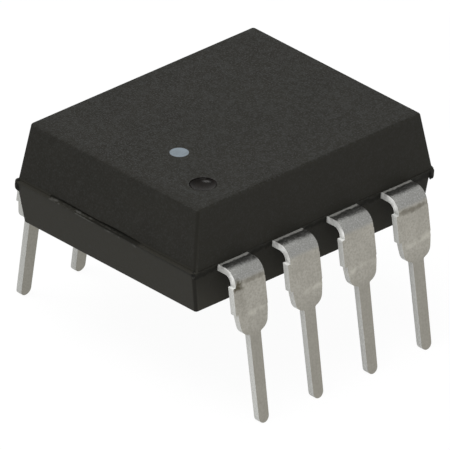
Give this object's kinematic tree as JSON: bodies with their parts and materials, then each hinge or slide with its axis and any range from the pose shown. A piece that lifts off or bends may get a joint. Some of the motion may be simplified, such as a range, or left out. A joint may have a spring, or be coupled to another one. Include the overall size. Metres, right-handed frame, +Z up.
{
  "type": "dip integrated circuit",
  "caption": "Black moulded integrated circuit in a wide dual in-line body, with bent, shouldered leads in two rows, an index dimple and a printed dot.",
  "frame": {"origin": "centre of the lead pattern, on the plane that the lead tips stand on", "axes": "+X along the lead rows from lead 1 to lead 4, +Y across the rows from leads 1-4 to leads 5-8, +Z up to the marked top"},
  "size_m": [0.0114, 0.0124, 0.0079],
  "materials": {
    "moulding": "filled black epoxy, matte with a fine grain",
    "lead_plating": "satin tin plate on copper alloy, with sheared edges",
    "die_adhesive": "cured silver-filled epoxy",
    "silicon": "polished dark silicon",
    "bond_gold": "drawn gold wire",
    "marking_ink": "pale blue-grey pad-printed ink"
  },
  "bodies": {
    "root": {"body": "moulding", "lead_1": "lead_plating", "lead_2": "lead_plating", "lead_3": "lead_plating", "lead_4": "lead_plating", "lead_5": "lead_plating", "lead_6": "lead_plating", "lead_7": "lead_plating", "lead_8": "lead_plating", "die_attach": "die_adhesive", "die": "silicon", "bond_wire_1": "bond_gold", "bond_wire_2": "bond_gold", "bond_wire_3": "bond_gold", "bond_wire_4": "bond_gold", "bond_wire_5": "bond_gold", "bond_wire_6": "bond_gold", "bond_wire_7": "bond_gold", "bond_wire_8": "bond_gold", "index_dot": "marking_ink"}
  },
  "joints": []
}
